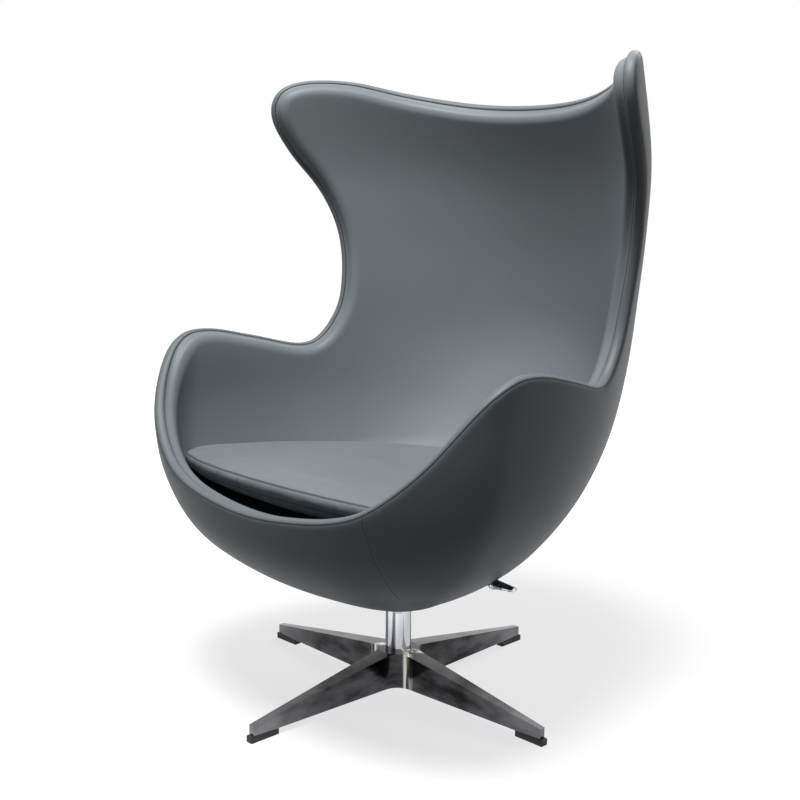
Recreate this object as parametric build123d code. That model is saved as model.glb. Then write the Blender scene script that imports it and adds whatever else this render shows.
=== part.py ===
"""Pod chair: a high-back upholstered shell on a swivelling, tilting column and a star base.

Millimetres. +Z is up, the sitter faces -Y and +X is the sitter's left. The origin is on the
floor, on the column's axis.
"""
from build123d import *
import math
import os

# ---- star base ----
LEG_REACH = 330.0            # column axis to the end of a leg
LEG_TIP_WIDTH = 11.0
LEG_ROOT_WIDTH = 37.0        # a leg's width where its two sides would meet the axis
LEG_TIP_HEIGHT = 28.0        # floor to the top of a leg's tip
LEG_UNDERSIDE = 10.0
HUB_HEIGHT = 72.0
HUB_FLAT_RADIUS = 36.0
LEG_CORNER_RADIUS = 30.0     # the upright hollow between two legs
LEG_EDGE_RADIUS = 1.2
LEG_COUNT = 4
GLIDE_LENGTH = 57.0
GLIDE_OVERHANG = 5.5         # how far a glide stands past the leg's end
GLIDE_LIP = 0.8              # how much wider a glide is than the leg, each side
GLIDE_SCREW_RADIUS = 2.4
GLIDE_SCREW_DEPTH = 9.0
GLIDE_SCREW_HEAD = 4.5

# ---- column and swivel ----
COLUMN_RADIUS = 23.0
COLUMN_WALL = 5.5
COLUMN_START = 14.0          # height of the tube's lower end, inside the hub
COLUMN_INTO_SHELL = 7.0      # how far the tube reaches above the shell's lowest point
SPINDLE_RADIUS = 12.5
BUSH_LENGTH = 30.0
BUSH_FLANGE = 3.0
THRUST_WASHER = 2.5
SPINDLE_GRIP = 26.0          # spindle length held by the yoke
RUNNING_CLEARANCE = 0.05     # radial, shafts in bushes
FACE_CLEARANCE = 0.1         # between faces that slide on each other
FIT_CLEARANCE = 0.02         # radial, parts that are fixed together
CIRCLIP_THICKNESS = 1.5
CIRCLIP_DEPTH = 1.5
WASHER_THICKNESS = 2.0

# ---- upholstered shell ----
SHELL_BOTTOM = 165.0
COVER = 2.0                  # leather
OUTER_FOAM = 7.0
SHELL_WALL = 7.0             # fibreglass
WALL = 40.0                  # whole wall, cover to cover
LAYER_GAP = 0.3
EDGE_GAP = 1.2               # between the layers' cut edges and the band sewn over them
BAND_WIDTH = 18.0            # rim band between its two seams
BAND_ROUND = 8.0
FRONT_ROUNDNESS = 2.2        # exponent of the plan outline ahead of its widest line
BACK_ROUNDNESS = 2.0
SLICES = 26
SLICE_POINTS = 24
OUTLINE_PARTS = 4            # faces round each layer
FIRST_BEARING = 45.0         # where the first of them starts

# Plan outlines of the outside: height above the shell's lowest point, half width,
# rearmost y, foremost y, y of the widest line.
SHELL_ROWS = [
    (0, 70, 70, -70, 0),
    (15, 107, 100, -113, -25),
    (40, 155, 140, -172, -62),
    (80, 234, 189, -252, -104),
    (135, 311, 243, -316, -148),
    (215, 371, 320, -343, -172),
    (305, 394, 392, -357, -170),
    (415, 401, 438, -363, -157),
    (535, 414, 446, -370, -142),
    (655, 434, 434, -376, -128),
    (775, 451, 404, -377, -118),
    (985, 446, 312, -377, -108),
]
# The same for the bowl under the cushion, up to where the wall's thickness takes over.
# Its lowest rows are cut off by the flat floor.
BOWL_ROWS = [
    (90, 60, 30, -60, -15),
    (130, 175, 130, -175, -45),
    (160, 243, 192, -232, -80),
    (180, 279, 227, -261, -105),
    (202, 312, 262, -289, -145),
    (224, 334, 290, -306, -172),
]
BOWL_TO_WALL = 270.0         # above the shell's lowest point
BOWL_FLOOR = 170.0           # above the shell's lowest point
# Rim of the mouth, from the lip round one arm and wing to the crown: bearing round the
# plan outline (0 in front, 180 behind) and height above the shell's lowest point.
RIM = [
    (0, 213), (15, 221), (28, 235), (39, 261), (54, 323), (69, 397), (80, 436), (92, 453),
    (103, 433), (115, 412), (121, 470), (123, 545), (123, 635), (120, 715), (114.5, 785),
    (111, 850), (113, 896), (120, 918), (132, 919), (146, 897), (163, 877), (180, 871),
]
RIM_STEPS = 2                # stations per row of the table
RIM_REACH = 30.0             # how far the cutting surface stands past both faces of the wall
APRON_HALF_WIDTH = 247.0     # the front panel lies between two upright seams
APRON_TURN = (225.0, -218.0)  # where each of those seams turns in towards the column
APRON_SHOULDER = -262.0
BACK_FOAM_FRONT = 90.0       # below the arms' tops the back pad starts behind this y
ARM_TOP = 470.0              # above the shell's lowest point
SEAT_FOAM_TOP = 187.0        # above the shell's lowest point
DECK_UNDERSIDE = 107.0       # above the shell's lowest point
DECK_THICKNESS = 9.0

# ---- tilt mechanism ----
AXLE_ABOVE_BOTTOM = 57.0
AXLE_RADIUS = 8.0
AXLE_BUSH_WALL = 3.0
COLUMN_HOLE_RADIUS = 41.0
COLLAR_THICKNESS = 4.0
BRACKET_RADIUS = 65.0
BRACKET_THICKNESS = 6.0
BOLT_CIRCLE_RADIUS = 56.0
BOLT_RADIUS = 4.0
BOLT_HOLE_RADIUS = 4.4
BOLT_HEAD_RADIUS = 6.5
BOLT_HEAD_HEIGHT = 4.5
NUT_RADIUS = 7.0
NUT_HEIGHT = 6.5
YOKE_HALF_WIDTH = 21.0
YOKE_NECK_RADIUS = 21.0
YOKE_HALF_DEPTH = 20.0
YOKE_CROWN = 17.0            # yoke height above the axle
BUSH_FLANGE_WIDTH = 2.8
EAR_INNER = 24.3
EAR_THICKNESS = 8.0
EAR_HALF_DEPTH = 36.0        # the ears bridge the column's hole and stand on the ring
EAR_TOP_HALF_DEPTH = 17.0
FRONT_ARM_REACH = 60.0
FRONT_ARM_THICKNESS = 10.0
REAR_ARM_REACH = 58.0
REAR_ARM_THICKNESS = 10.0
REAR_ARM_HALF_WIDTH = 14.0
REAR_ARM_ABOVE_BRACKET = 18.0
STOP_RADIUS = 5.0
STOP_PLACE = 51.0            # distance of both stops from the axle
TILT_LIMIT = 12.0            # degrees
SPRING_PLACE = (15.0, -50.0)
SPRING_RADIUS = 6.5
SPRING_WIRE = 1.5
SPRING_TURNS = 6

# ---- tilt lock lever ----
LEVER_Y = -35.0
LEVER_ABOVE_BOTTOM = 93.0
LEVER_RADIUS = 6.0
LEVER_END = 243.5            # x where the rod meets its handle
CAM_RADIUS = 10.0
CAM_OFFSET = 2.0
HANDLE_BALL_RADIUS = 9.5
HANDLE_LENGTH = 44.0
HANDLE_TIP_RADIUS = 4.5
LEVER_HOLE_CLEARANCE = 2.5   # round the ball, which turns in the mouth of its hole
LEVER_BORE_DEPTH = 10.0

# ---- loose seat cushion ----
CUSHION_SLOPE = 4.3          # degrees, front edge up
CUSHION_COVER = 1.6
CUSHION_GAP = 2.6            # between the cushion's sides and the hollow it is pressed into
CUSHION_REST = 0.6           # between the cushion and the hollow's floor
ZIP_WIDTH = 220.0
ZIP_HEIGHT = 6.0

HUB_BORE = COLUMN_RADIUS + FIT_CLEARANCE
COLUMN_TOP = SHELL_BOTTOM + COLUMN_INTO_SHELL
COLUMN_BORE = COLUMN_RADIUS - COLUMN_WALL
AXLE_Z = SHELL_BOTTOM + AXLE_ABOVE_BOTTOM
LEVER_Z = SHELL_BOTTOM + LEVER_ABOVE_BOTTOM
FOAM_DEPTH = COVER + LAYER_GAP
FIBREGLASS_DEPTH = FOAM_DEPTH + OUTER_FOAM + LAYER_GAP
PADDING_DEPTH = FIBREGLASS_DEPTH + SHELL_WALL + LAYER_GAP
BRACKET_BASE = SHELL_BOTTOM + PADDING_DEPTH
BRACKET_TOP = BRACKET_BASE + BRACKET_THICKNESS
YOKE_BASE = COLUMN_TOP + BUSH_FLANGE + THRUST_WASHER + FACE_CLEARANCE
FRONT_ARM_BASE = AXLE_Z
REAR_ARM_BASE = BRACKET_TOP + REAR_ARM_ABOVE_BRACKET

SLAB = 3 * SHELL_ROWS[-1][0]  # larger than the whole chair, for cutting

os.makedirs("parts", exist_ok=True)


def save(name, *shapes):
    """Write one node: its shapes stay separate solids."""
    solids = [solid for shape in shapes for solid in shape.solids()]
    export_step(solids[0] if len(solids) == 1 else Compound(solids), f"parts/{name}.step")


def rod(radius, low, high, x=0.0, y=0.0):
    """An upright cylinder between two heights."""
    return Pos(x, y, low) * Cylinder(radius, high - low, align=(Align.CENTER, Align.CENTER, Align.MIN))


def ring(outer, inner, low, high):
    return rod(outer, low, high) - rod(inner, low - 1, high + 1)


def cross_rod(radius, left, right, y, z):
    """A cylinder along X."""
    middle = Pos((left + right) / 2, y, z) * Rot(0, 90, 0)
    return middle * Cylinder(radius, right - left)


def block(x, y, z):
    """A box from three (low, high) pairs."""
    sides = [high - low for low, high in (x, y, z)]
    return Pos(x[0], y[0], z[0]) * Box(*sides, align=(Align.MIN, Align.MIN, Align.MIN))


def round_the_column(radius, count, start=0.0):
    """Places evenly spread on a circle round the column."""
    for k in range(count):
        turn = math.radians(start + 360 * k / count)
        yield radius * math.cos(turn), radius * math.sin(turn)


# ---------------------------------------------------------------- star base
def star_plan():
    """Four tapering legs; the corners between them are rounded afterwards."""
    tip, root = LEG_TIP_WIDTH / 2, LEG_ROOT_WIDTH / 2
    taper = (root - tip) / LEG_REACH
    inner = root / (1 + taper)
    corners = []
    for k in range(LEG_COUNT):
        for x, y in ((LEG_REACH, -tip), (LEG_REACH, tip), (inner, inner)):
            turn = math.radians(360 * k / LEG_COUNT)
            corners.append((x * math.cos(turn) - y * math.sin(turn),
                            x * math.sin(turn) + y * math.cos(turn)))
    plan = make_face(Polyline(*corners, close=True))
    hollows = [v for v in plan.vertices() if math.hypot(v.X, v.Y) < LEG_REACH / 2]
    return fillet(hollows, LEG_CORNER_RADIUS)


def star_base():
    star = extrude(Pos(0, 0, LEG_UNDERSIDE) * star_plan(), HUB_HEIGHT - LEG_UNDERSIDE)
    side = make_face(Plane.XZ * Polyline(
        (0, LEG_UNDERSIDE), (LEG_REACH + 10, LEG_UNDERSIDE), (LEG_REACH + 10, LEG_TIP_HEIGHT),
        (LEG_REACH, LEG_TIP_HEIGHT), (HUB_FLAT_RADIUS, HUB_HEIGHT), (0, HUB_HEIGHT), close=True))
    star = star & revolve(side, Axis.Z)
    star -= rod(HUB_BORE, 0, HUB_HEIGHT + 1)
    for x, y in round_the_column(LEG_REACH - GLIDE_LENGTH / 2, LEG_COUNT):
        star -= rod(GLIDE_SCREW_RADIUS + FIT_CLEARANCE, 0, LEG_UNDERSIDE + GLIDE_SCREW_DEPTH + 1, x, y)
    return star


def foot_glides():
    """Plastic shoes under the four tips, countersunk for a screw."""
    for k in range(LEG_COUNT):
        width = LEG_TIP_WIDTH + 2 * GLIDE_LIP + (LEG_ROOT_WIDTH - LEG_TIP_WIDTH) * GLIDE_LENGTH / LEG_REACH / 2
        outer = LEG_REACH + GLIDE_OVERHANG
        shoe = block((outer - GLIDE_LENGTH, outer), (-width / 2, width / 2), (0, LEG_UNDERSIDE))
        shoe = fillet(shoe.edges().filter_by(Axis.Z), 2)
        middle = LEG_REACH - GLIDE_LENGTH / 2
        shoe -= rod(GLIDE_SCREW_RADIUS + FIT_CLEARANCE, -1, LEG_UNDERSIDE + 1, middle)
        shoe -= rod(GLIDE_SCREW_HEAD + FIT_CLEARANCE, -1, GLIDE_SCREW_HEAD, middle)
        yield Rot(0, 0, 360 * k / LEG_COUNT) * shoe


def glide_screws():
    for x, y in round_the_column(LEG_REACH - GLIDE_LENGTH / 2, LEG_COUNT):
        head = rod(GLIDE_SCREW_HEAD, GLIDE_SCREW_HEAD - 3, GLIDE_SCREW_HEAD, x, y)
        shank = rod(GLIDE_SCREW_RADIUS, GLIDE_SCREW_HEAD, LEG_UNDERSIDE + GLIDE_SCREW_DEPTH, x, y)
        yield head + shank


save("star_base", star_base())
save("foot_glides", *foot_glides())
save("glide_screws", *glide_screws())

# ---------------------------------------------------------------- column and swivel
BUSH_RADIUS = COLUMN_BORE - FIT_CLEARANCE
BUSH_BORE = SPINDLE_RADIUS + RUNNING_CLEARANCE
WASHER_TOP = COLUMN_START - FACE_CLEARANCE
CIRCLIP_TOP = WASHER_TOP - WASHER_THICKNESS
SPINDLE_START = CIRCLIP_TOP - CIRCLIP_THICKNESS - 1.0
SPINDLE_TOP = YOKE_BASE + SPINDLE_GRIP

save("column_tube", ring(COLUMN_RADIUS, COLUMN_BORE, COLUMN_START, COLUMN_TOP))
save("lower_bush", ring(BUSH_RADIUS, BUSH_BORE, COLUMN_START, COLUMN_START + BUSH_LENGTH))
upper_bush = ring(BUSH_RADIUS, BUSH_BORE, COLUMN_TOP - BUSH_LENGTH, COLUMN_TOP)
upper_bush += ring(COLUMN_RADIUS - 1, BUSH_BORE, COLUMN_TOP, COLUMN_TOP + BUSH_FLANGE)
save("upper_bush", upper_bush)
save("thrust_washer", ring(COLUMN_RADIUS - 1, BUSH_BORE, COLUMN_TOP + BUSH_FLANGE,
                           COLUMN_TOP + BUSH_FLANGE + THRUST_WASHER))

circlip_groove = ring(SPINDLE_RADIUS + 1, SPINDLE_RADIUS - CIRCLIP_DEPTH,
                      CIRCLIP_TOP - CIRCLIP_THICKNESS, CIRCLIP_TOP)
save("spindle", rod(SPINDLE_RADIUS, SPINDLE_START, SPINDLE_TOP) - circlip_groove)
save("retaining_washer", ring(BUSH_RADIUS - 0.5, SPINDLE_RADIUS + FIT_CLEARANCE, CIRCLIP_TOP, WASHER_TOP))
clip = ring(SPINDLE_RADIUS + 2.5, SPINDLE_RADIUS - CIRCLIP_DEPTH + FIT_CLEARANCE,
            CIRCLIP_TOP - CIRCLIP_THICKNESS, CIRCLIP_TOP)
clip -= block((0, 20), (-3, 3), (0, CIRCLIP_TOP + 1))
save("spindle_circlip", clip)


# ---------------------------------------------------------------- tilt mechanism
def tilt_yoke():
    """Cast head on the spindle: axle boss, an arm over the springs and one over the rear stop."""
    top = AXLE_Z + YOKE_CROWN
    boss = block((-YOKE_HALF_WIDTH, YOKE_HALF_WIDTH), (-YOKE_HALF_DEPTH, YOKE_HALF_DEPTH),
                 (YOKE_BASE + 14, top))
    boss = fillet(boss.edges().filter_by(Axis.X).group_by(Axis.Z)[-1], YOKE_CROWN - 3)
    yoke = boss + rod(YOKE_NECK_RADIUS, YOKE_BASE, YOKE_BASE + 16)
    yoke += block((-YOKE_HALF_WIDTH, YOKE_HALF_WIDTH), (-FRONT_ARM_REACH, 0),
                  (FRONT_ARM_BASE, FRONT_ARM_BASE + FRONT_ARM_THICKNESS))
    yoke += block((-REAR_ARM_HALF_WIDTH, REAR_ARM_HALF_WIDTH), (0, REAR_ARM_REACH),
                  (REAR_ARM_BASE, REAR_ARM_BASE + REAR_ARM_THICKNESS))
    yoke -= rod(SPINDLE_RADIUS + FIT_CLEARANCE, YOKE_BASE - 1, SPINDLE_TOP + FIT_CLEARANCE)
    yoke -= cross_rod(AXLE_RADIUS + AXLE_BUSH_WALL + FIT_CLEARANCE, -60, 60, 0, AXLE_Z)
    return yoke


def tilt_bushes():
    """Two flanged bushes pressed into the yoke from its sides."""
    sleeve_end = YOKE_HALF_WIDTH - 14
    flange_end = YOKE_HALF_WIDTH + BUSH_FLANGE_WIDTH
    for side in (-1, 1):
        ends = sorted((side * sleeve_end, side * YOKE_HALF_WIDTH))
        sleeve = cross_rod(AXLE_RADIUS + AXLE_BUSH_WALL, *ends, 0, AXLE_Z)
        ends = sorted((side * YOKE_HALF_WIDTH, side * flange_end))
        flange = cross_rod(AXLE_RADIUS + AXLE_BUSH_WALL + 3, *ends, 0, AXLE_Z)
        bore = cross_rod(AXLE_RADIUS + RUNNING_CLEARANCE, -60, 60, 0, AXLE_Z)
        yield sleeve + flange - bore


def bracket_ear(side):
    """One upright plate of the bracket, narrowing up to the axle."""
    top = AXLE_Z + YOKE_CROWN
    outline = Plane.YZ * Polyline(
        (-EAR_HALF_DEPTH, BRACKET_BASE), (EAR_HALF_DEPTH, BRACKET_BASE), (EAR_TOP_HALF_DEPTH, AXLE_Z),
        (EAR_TOP_HALF_DEPTH, top), (-EAR_TOP_HALF_DEPTH, top), (-EAR_TOP_HALF_DEPTH, AXLE_Z), close=True)
    plate = extrude(make_face(outline), EAR_THICKNESS, dir=(side, 0, 0))
    return Pos(side * EAR_INNER, 0, 0) * plate


def tilt_bracket():
    """Flanged ring bolted inside the shell, with two ears for the axle; one also holds the lever."""
    bracket = ring(BRACKET_RADIUS, COLUMN_HOLE_RADIUS, BRACKET_BASE, BRACKET_TOP)
    bracket += bracket_ear(-1)
    bracket += bracket_ear(1)
    bracket += block((EAR_INNER, EAR_INNER + EAR_THICKNESS), (LEVER_Y - CAM_RADIUS - 3, 0),
                     (AXLE_Z - 10, LEVER_Z + CAM_RADIUS + 3))
    bracket += block((EAR_INNER, EAR_INNER + EAR_THICKNESS), (LEVER_Y - CAM_RADIUS - 3, LEVER_Y + 5),
                     (BRACKET_BASE, AXLE_Z))
    bracket -= cross_rod(AXLE_RADIUS + FIT_CLEARANCE, -60, 60, 0, AXLE_Z)
    bracket -= cross_rod(LEVER_RADIUS + RUNNING_CLEARANCE, 0, 60, LEVER_Y, LEVER_Z)
    for x, y in bolt_places():
        bracket -= rod(BOLT_HOLE_RADIUS, BRACKET_BASE - 1, BRACKET_TOP + 1, x, y)
    return bracket


def bolt_places():
    return list(round_the_column(BOLT_CIRCLE_RADIUS, 4, 45))


def mounting_bolts():
    """Four bolts through collar, cover, foam, fibreglass and bracket, heads below."""
    low = SHELL_BOTTOM - LAYER_GAP - COLLAR_THICKNESS
    for x, y in bolt_places():
        head = rod(BOLT_HEAD_RADIUS, low - BOLT_HEAD_HEIGHT, low, x, y)
        yield head + rod(BOLT_RADIUS, low, BRACKET_TOP + NUT_HEIGHT + 2, x, y)


def mounting_nuts():
    for x, y in bolt_places():
        nut = Pos(x, y, BRACKET_TOP) * extrude(RegularPolygon(NUT_RADIUS, 6), NUT_HEIGHT)
        yield nut - rod(BOLT_RADIUS + FIT_CLEARANCE, BRACKET_TOP - 1, BRACKET_TOP + NUT_HEIGHT + 1, x, y)


def bottom_collar():
    """Steel ring that clamps the covers round the column's hole."""
    low = SHELL_BOTTOM - LAYER_GAP - COLLAR_THICKNESS
    collar = ring(BRACKET_RADIUS, COLUMN_HOLE_RADIUS, low, SHELL_BOTTOM - LAYER_GAP)
    for x, y in bolt_places():
        collar -= rod(BOLT_HOLE_RADIUS, low - 1, SHELL_BOTTOM, x, y)
    return collar


def tilt_springs():
    """Two coil springs between the bracket's front and the yoke's front arm."""
    low = BRACKET_TOP + SPRING_WIRE + LAYER_GAP
    height = FRONT_ARM_BASE - BRACKET_TOP - 2 * SPRING_WIRE - 2 * LAYER_GAP
    for side in (-1, 1):
        coil = Helix(height / SPRING_TURNS, height, SPRING_RADIUS)
        wire = sweep(Plane(coil @ 0, z_dir=coil % 0) * Circle(SPRING_WIRE), path=coil, is_frenet=True)
        yield Pos(side * SPRING_PLACE[0], SPRING_PLACE[1], low) * wire


save("tilt_yoke", tilt_yoke())
save("tilt_bushes", *tilt_bushes())
save("tilt_bracket", tilt_bracket())
save("mounting_bolts", *mounting_bolts())
save("mounting_nuts", *mounting_nuts())
save("bottom_collar", bottom_collar())
save("tilt_springs", *tilt_springs())

AXLE_HALF = EAR_INNER + EAR_THICKNESS + 6
groove_inner = EAR_INNER + EAR_THICKNESS + 1
axle = cross_rod(AXLE_RADIUS, -AXLE_HALF, AXLE_HALF, 0, AXLE_Z)
axle_clips = []
for side in (-1, 1):
    ends = sorted((side * groove_inner, side * (groove_inner + CIRCLIP_THICKNESS)))
    core = cross_rod(AXLE_RADIUS - CIRCLIP_DEPTH, *ends, 0, AXLE_Z)
    axle -= cross_rod(AXLE_RADIUS + 1, *ends, 0, AXLE_Z) - core
    axle_clips.append(cross_rod(AXLE_RADIUS + 2.5, *ends, 0, AXLE_Z)
                      - cross_rod(AXLE_RADIUS - CIRCLIP_DEPTH + FIT_CLEARANCE, -60, 60, 0, AXLE_Z)
                      - block((-60, 60), (-2.5, 2.5), (AXLE_Z, AXLE_Z + 20)))
save("tilt_axle", axle)
save("axle_circlips", *axle_clips)

# The upright stop meets the bracket at rest; the recline stop meets it at the tilt limit.
save("upright_stop", rod(STOP_RADIUS, BRACKET_TOP + LAYER_GAP, REAR_ARM_BASE, 0, STOP_PLACE))
lift = STOP_PLACE * math.sin(math.radians(TILT_LIMIT)) + (AXLE_Z - BRACKET_TOP) * (
    1 - math.cos(math.radians(TILT_LIMIT)))
save("recline_stop", rod(STOP_RADIUS, BRACKET_TOP + lift + 2, FRONT_ARM_BASE, 0, -STOP_PLACE))


# ---------------------------------------------------------------- outlines of the shell
def row_at(rows, height):
    """The other columns at a value of the first one, on smooth curves through the rows."""
    k = max([i for i in range(len(rows) - 1) if rows[i][0] <= height] or [0])
    span = rows[k + 1][0] - rows[k][0]
    t = (height - rows[k][0]) / span

    def slope(i, column):
        low, high = max(i - 1, 0), min(i + 1, len(rows) - 1)
        return (rows[high][column] - rows[low][column]) / (rows[high][0] - rows[low][0]) * span

    return [(2 * t**3 - 3 * t**2 + 1) * rows[k][column] + (t**3 - 2 * t**2 + t) * slope(k, column)
            + (3 * t**2 - 2 * t**3) * rows[k + 1][column] + (t**3 - t**2) * slope(k + 1, column)
            for column in range(1, len(rows[0]))]


def plan_point(bearing, half, back, front, widest):
    """A point of a plan outline: two half ovals that meet on the widest line."""
    sine, cosine = math.sin(math.radians(bearing)), math.cos(math.radians(bearing))
    power = 2 / (FRONT_ROUNDNESS if cosine > 0 else BACK_ROUNDNESS)
    reach = widest - front if cosine > 0 else back - widest
    return (math.copysign(half * abs(sine) ** power, sine),
            widest - math.copysign(reach * abs(cosine) ** power, cosine))


BEARINGS = [FIRST_BEARING + 360 * n / SLICE_POINTS for n in range(SLICE_POINTS)]


def closed_outline(points):
    """A smooth closed wire through evenly numbered points, in a few lengths."""
    shares = [k / len(points) for k in range(len(points) + 1)]
    whole = Edge.make_spline(points, periodic=True, parameters=shares)
    return Wire([whole.trim(k / OUTLINE_PARTS, (k + 1) / OUTLINE_PARTS) for k in range(OUTLINE_PARTS)])


def stacked(sections, ruled=False):
    """Smooth solid through plan outlines given as (height, half, back, front, widest)."""
    wires = []
    for height, *outline in sections:
        points = [Vector(*plan_point(bearing, *outline), SHELL_BOTTOM + height) for bearing in BEARINGS]
        wires.append(closed_outline(points))
    return Solid.make_loft(wires, ruled=ruled)


def sunk(rows, heights, depth):
    """Sections of the same form with its skin moved inwards by a depth."""
    for k, height in enumerate(heights):
        half, back, front, widest = row_at(rows, height)
        low = row_at(rows, max(height - 2, heights[0]))
        high = row_at(rows, min(height + 2, heights[-1]))
        rise = min(height + 2, heights[-1]) - max(height - 2, heights[0])
        run = (high[0] - low[0] + (high[1] - high[2] - low[1] + low[2]) / 2) / 2
        if k == 0:
            rise, run = 0, 1
        inset = depth * rise / math.hypot(rise, run)
        raised = depth * run / math.hypot(rise, run)
        yield height + raised, half - inset, back - inset, front + inset, widest


def slice_heights(rows):
    """Heights for sections, closer together near the bottom."""
    low, high = rows[0][0], rows[-1][0]
    return [low + (high - low) * (k / SLICES) ** 1.7 for k in range(SLICES + 1)]


def shell_solid(depth):
    """The whole outer form, without its mouth, at a depth below the cover's face."""
    return stacked(sunk(SHELL_ROWS, slice_heights(SHELL_ROWS), depth))


# The hollow: its bowl and, above it, the wall's inner face.
HOLLOW_ROWS = BOWL_ROWS + [row for row in sunk(SHELL_ROWS, [row[0] for row in SHELL_ROWS], WALL)
                           if row[0] > BOWL_TO_WALL]


def hollow_sections(depth):
    return list(sunk(HOLLOW_ROWS, slice_heights(HOLLOW_ROWS), depth))


def hollow_solid(depth):
    """The sitting hollow at a depth inside its cover's face."""
    floor = SHELL_BOTTOM + BOWL_FLOOR + depth
    return stacked(hollow_sections(depth)) & block((-SLAB, SLAB), (-SLAB, SLAB), (floor, SLAB))


def on_shell(bearing, height):
    x, y = plan_point(bearing, *row_at(SHELL_ROWS, height))
    return Vector(x, y, SHELL_BOTTOM + height)


def outward(bearing, height):
    """Unit normal of the outer form."""
    along = on_shell(bearing + 1, height) - on_shell(bearing - 1, height)
    up = on_shell(bearing, height + 2) - on_shell(bearing, height - 2)
    return along.cross(up).normalized()


def rim_stations():
    """Bearings and heights round the whole rim, closer than its table, from the lip's middle."""
    before = (-RIM[1][0], RIM[1][1])
    after = (360 - RIM[-2][0], RIM[-2][1])
    table = [(k - 1, *row) for k, row in enumerate([before, *RIM, after])]
    half = [row_at(table, k / RIM_STEPS) for k in range((len(RIM) - 1) * RIM_STEPS + 1)]
    return half + [[-bearing, height] for bearing, height in half[-2:0:-1]]


RIM_STATIONS = rim_stations()
CROWN = len(RIM_STATIONS) // 2


def rim_frame(k):
    """A point of the rim's crest on the cover, the direction into the wall and the one down it."""
    following = on_shell(*RIM_STATIONS[(k + 1) % len(RIM_STATIONS)])
    normal = outward(*RIM_STATIONS[k])
    down = (following - on_shell(*RIM_STATIONS[k - 1])).cross(normal).normalized()
    return on_shell(*RIM_STATIONS[k]), -normal, down


def rim_curve(depth, lower):
    """The rim's line at a depth in the wall, lowered from the crest."""
    points = []
    for k in range(len(RIM_STATIONS)):
        point, inward, down = rim_frame(k)
        points.append(point + inward * depth + down * lower)
    shares = [k / len(points) for k in range(len(points) + 1)]
    return Edge.make_spline(points[CROWN:] + points[:CROWN], periodic=True, parameters=shares)


def rim_surface(lower):
    """The surface that cuts the wall square across, along the rim."""
    outer, inner = rim_curve(-RIM_REACH, lower), rim_curve(WALL + RIM_REACH, lower)
    return Face.make_surface_from_curves(outer, inner)


def below(layer, cutter):
    """The piece of a layer that lies below the rim."""
    pieces = layer.split(cutter, keep=Keep.ALL)
    return min(pieces, key=lambda piece: piece.bounding_box().min.Z)


# ---------------------------------------------------------------- upholstered shell
LAYER_EDGE = rim_surface(BAND_WIDTH + EDGE_GAP)
OUTSIDE = shell_solid(0)
HOLLOW = hollow_solid(0)


def openings():
    """What passes through the wall: the column, the mounting bolts and the lever."""
    cut = [rod(COLUMN_HOLE_RADIUS, 0, BRACKET_TOP)]
    cut += [rod(BOLT_HOLE_RADIUS, 0, BRACKET_TOP, x, y) for x, y in bolt_places()]
    mouth = HANDLE_BALL_RADIUS + LEVER_HOLE_CLEARANCE
    cut.append(cross_rod(mouth, BRACKET_RADIUS, LEVER_END + 60, LEVER_Y, LEVER_Z))
    return cut


def pierced(layer):
    for cut in openings():
        layer -= cut
    return layer


def cover_layer():
    return pierced(below(OUTSIDE - shell_solid(COVER), LAYER_EDGE))


def apron_region():
    """Everything between the two upright seams, ahead of the column."""
    x, y = APRON_TURN
    gate = COLUMN_HOLE_RADIUS * 0.6
    half = [(gate, -gate), (x, y), (APRON_HALF_WIDTH, APRON_SHOULDER), (APRON_HALF_WIDTH, -600)]
    outline = half + [(-px, py) for px, py in reversed(half)]
    return extrude(make_face(Polyline(*outline, close=True)), SLAB)


outer_cover = cover_layer()
apron = apron_region()
save("front_apron", outer_cover & apron)
save("back_cover", outer_cover - apron)
save("outer_foam", pierced(below(shell_solid(FOAM_DEPTH) - shell_solid(FOAM_DEPTH + OUTER_FOAM), LAYER_EDGE)))
save("fibreglass_shell", pierced(below(
    shell_solid(FIBREGLASS_DEPTH) - shell_solid(FIBREGLASS_DEPTH + SHELL_WALL), LAYER_EDGE)))
save("inner_cover", below(hollow_solid(-COVER) - HOLLOW, LAYER_EDGE))



def rim_band():
    """The padded band between the two seams, in a left and a right length."""
    edge = BAND_ROUND
    crest = [(0, BAND_WIDTH), (0, edge), (edge * 0.3, edge * 0.3), (edge, 0), (WALL / 2, -edge * 0.06),
             (WALL - edge, 0), (WALL - edge * 0.3, edge * 0.3), (WALL, edge), (WALL, BAND_WIDTH)]
    shares = [k / (len(crest) - 1) for k in range(len(crest))]
    sections = []
    for k in range(-2, CROWN + 3):
        point, inward, down = rim_frame(k)
        points = [point + inward * depth + down * lower for depth, lower in crest]
        round_edge = Edge.make_spline(points, parameters=shares)
        sections.append(Wire([round_edge, Edge.make_line(points[-1], points[0])]))
    left = Solid.make_loft(sections) & block((0, SLAB), (-SLAB, SLAB), (0, SLAB))
    return left, mirror(left, Plane.YZ)


save("rim_band", *rim_band())

INTERIOR = shell_solid(PADDING_DEPTH)
deck_low = SHELL_BOTTOM + DECK_UNDERSIDE
deck_high = deck_low + DECK_THICKNESS
save("seat_deck", INTERIOR & block((-SLAB, SLAB), (-SLAB, SLAB), (deck_low, deck_high)))

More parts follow.
